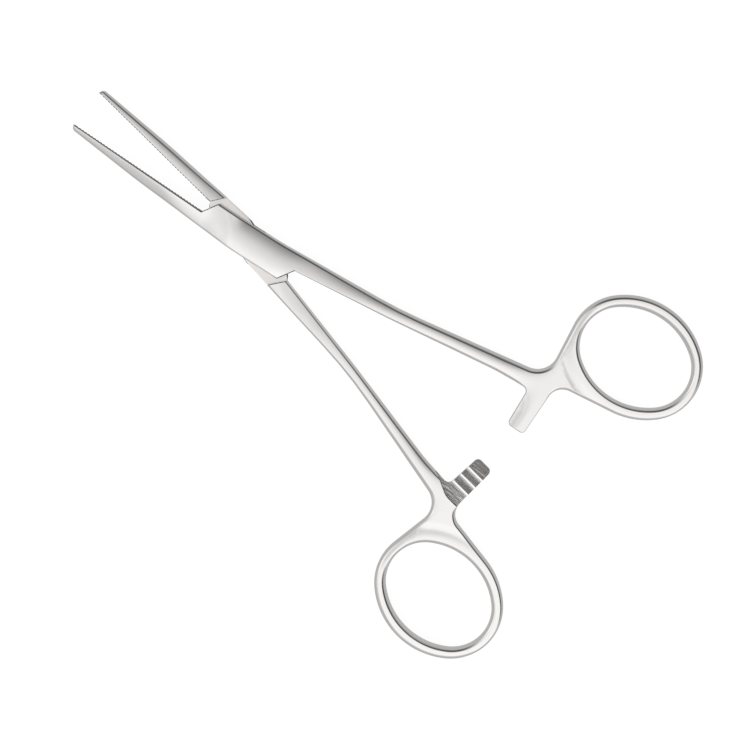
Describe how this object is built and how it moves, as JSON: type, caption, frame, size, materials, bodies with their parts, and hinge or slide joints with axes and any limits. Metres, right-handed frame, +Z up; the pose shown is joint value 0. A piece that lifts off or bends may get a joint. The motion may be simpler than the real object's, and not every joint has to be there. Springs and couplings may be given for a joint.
{
  "type": "hemostat forceps",
  "caption": "Straight box-lock hemostat forceps with cross-serrated jaws, finger rings and a ratchet lock, lying flat with the jaws part open",
  "frame": {"origin": "on the pin's axis, on the surface that the forceps lie on", "axes": "+X along the line that halves the opening, towards the jaw tips; +Y to the side of the box half's jaw; +Z up, along the pin"},
  "size_m": [0.1362, 0.0896, 0.0048],
  "materials": {
    "polished_steel": "polished stainless steel",
    "pin_steel": "stainless steel, ground flush with the box and polished"
  },
  "bodies": {
    "box_side": {"box_half": "polished_steel", "rivet_pin": "pin_steel"},
    "tongue_side": {"tongue_half": "polished_steel"}
  },
  "joints": [
    {"name": "box_lock", "type": "hinge", "parent": "box_side", "child": "tongue_side", "pos_m": [0, 0, 0.0024], "axis": [0, 0, 1], "range_deg": [-48, 11]}
  ]
}
